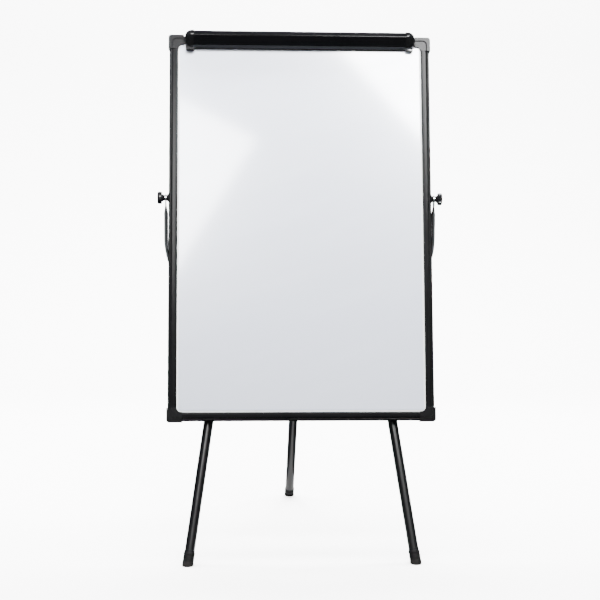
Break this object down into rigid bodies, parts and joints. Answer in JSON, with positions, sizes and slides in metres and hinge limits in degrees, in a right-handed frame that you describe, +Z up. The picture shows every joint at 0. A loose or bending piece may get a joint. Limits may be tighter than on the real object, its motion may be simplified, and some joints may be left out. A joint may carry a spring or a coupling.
{
  "type": "flipchart easel",
  "caption": "Tripod easel with a framed white writing board that tilts in a curved yoke, a sprung paper clamp along the top and telescopic folding legs.",
  "frame": {"origin": "floor level, on the middle plane, midway between the foremost and rearmost points", "axes": "+X to the right seen from the front, +Y away from the reader, +Z up"},
  "size_m": [0.6494, 0.6713, 1.1869],
  "materials": {
    "core_board": "satin",
    "white_enamel": "gloss",
    "galvanised_sheet": "satin",
    "black_anodised": "satin",
    "grey_moulding": "satin",
    "zinc_screw": "satin",
    "black_moulding": "satin",
    "zinc_steel": "satin",
    "gloss_black_moulding": "gloss",
    "black_rubber": "matte",
    "chrome_yoke": "polished",
    "black_enamel_steel": "gloss",
    "cast_black": "satin",
    "nylon_black": "satin",
    "chrome_tube": "polished",
    "gloss_black_bar": "gloss",
    "spring_steel": "satin"
  },
  "bodies": {
    "head": {"yoke": "chrome_yoke", "head_beam": "black_enamel_steel", "yoke_bolts": "zinc_steel", "bracket_left": "cast_black", "bracket_right": "cast_black", "bracket_rear": "cast_black", "hinge_pins": "zinc_steel"},
    "board": {"board_core": "core_board", "writing_sheet": "white_enamel", "back_sheet": "galvanised_sheet", "rail_left": "black_anodised", "rail_right": "black_anodised", "rail_top": "black_anodised", "rail_bottom": "black_anodised", "corner_top_left": "grey_moulding", "corner_top_right": "grey_moulding", "corner_bottom_left": "grey_moulding", "corner_bottom_right": "grey_moulding", "corner_screws": "zinc_screw", "pivot_insert_left": "black_moulding", "pivot_insert_right": "black_moulding", "rest_buffers": "black_rubber", "clamp_base": "black_anodised", "clamp_screws": "zinc_screw", "clamp_rod": "zinc_steel", "clamp_springs": "spring_steel"},
    "clamp": {"clamp_bar": "gloss_black_bar", "clamp_cap_left": "gloss_black_moulding", "clamp_cap_right": "gloss_black_moulding", "clamp_grip": "black_rubber"},
    "pad_hook_left": {"pad_hook_left": "grey_moulding"},
    "pad_hook_right": {"pad_hook_right": "grey_moulding"},
    "knob_left": {"knob_left": "gloss_black_moulding", "pivot_stud_left": "zinc_steel"},
    "knob_right": {"knob_right": "gloss_black_moulding", "pivot_stud_right": "zinc_steel"},
    "leg_left": {"leg_tube_left": "black_enamel_steel", "leg_bush_left": "nylon_black", "leg_knuckle_left": "nylon_black"},
    "foot_left": {"leg_stem_left": "chrome_tube", "leg_plug_left": "nylon_black", "leg_foot_left": "black_rubber"},
    "leg_right": {"leg_tube_right": "black_enamel_steel", "leg_bush_right": "nylon_black", "leg_knuckle_right": "nylon_black"},
    "foot_right": {"leg_stem_right": "chrome_tube", "leg_plug_right": "nylon_black", "leg_foot_right": "black_rubber"},
    "leg_rear": {"leg_tube_rear": "black_enamel_steel", "leg_bush_rear": "nylon_black", "leg_knuckle_rear": "nylon_black"},
    "foot_rear": {"leg_stem_rear": "chrome_tube", "leg_plug_rear": "nylon_black", "leg_foot_rear": "black_rubber"}
  },
  "joints": [
    {"name": "board_tilt", "type": "hinge", "parent": "head", "child": "board", "pos_m": [0, -0.15896, 0.80459], "axis": [1, 0, 0], "range_deg": [-78.7, 0]},
    {"name": "clamp_lift", "type": "hinge", "parent": "board", "child": "clamp", "pos_m": [0, -0.10038, 1.17836], "axis": [1, 0, 0], "range_deg": [-110, 0], "stiffness_Nm_per_rad": 0.2, "springref_deg": 28.65},
    {"name": "pad_hook_left_slide", "type": "slide", "parent": "board", "child": "pad_hook_left", "axis": [1, 0, 0], "range_m": [-0.08, 0.08]},
    {"name": "pad_hook_right_slide", "type": "slide", "parent": "board", "child": "pad_hook_right", "axis": [1, 0, 0], "range_m": [-0.08, 0.08]},
    {"name": "knob_left_turn", "type": "hinge", "parent": "board", "child": "knob_left", "pos_m": [-0.3, -0.15896, 0.80459], "axis": [-1, 0, 0], "range_deg": [0, 360]},
    {"name": "knob_right_turn", "type": "hinge", "parent": "board", "child": "knob_right", "pos_m": [0.3, -0.15896, 0.80459], "axis": [1, 0, 0], "range_deg": [0, 360]},
    {"name": "leg_left_fold", "type": "hinge", "parent": "head", "child": "leg_left", "pos_m": [-0.1764, -0.1617, 0.518], "axis": [0, -0.9548, 0.2973], "range_deg": [0, 8]},
    {"name": "leg_right_fold", "type": "hinge", "parent": "head", "child": "leg_right", "pos_m": [0.1764, -0.1617, 0.518], "axis": [0, -0.9548, 0.2973], "range_deg": [-8, 0]},
    {"name": "leg_rear_fold", "type": "hinge", "parent": "head", "child": "leg_rear", "pos_m": [0, -0.095, 0.518], "axis": [1, 0, 0], "range_deg": [-56, 0]},
    {"name": "leg_left_extend", "type": "slide", "parent": "leg_left", "child": "foot_left", "axis": [-0.1394, -0.2944, -0.9455], "range_m": [0, 0.38]},
    {"name": "leg_right_extend", "type": "slide", "parent": "leg_right", "child": "foot_right", "axis": [0.1394, -0.2944, -0.9455], "range_m": [0, 0.38]},
    {"name": "leg_rear_extend", "type": "slide", "parent": "leg_rear", "child": "foot_rear", "axis": [0, 0.626, -0.7798], "range_m": [0, 0.46]}
  ]
}
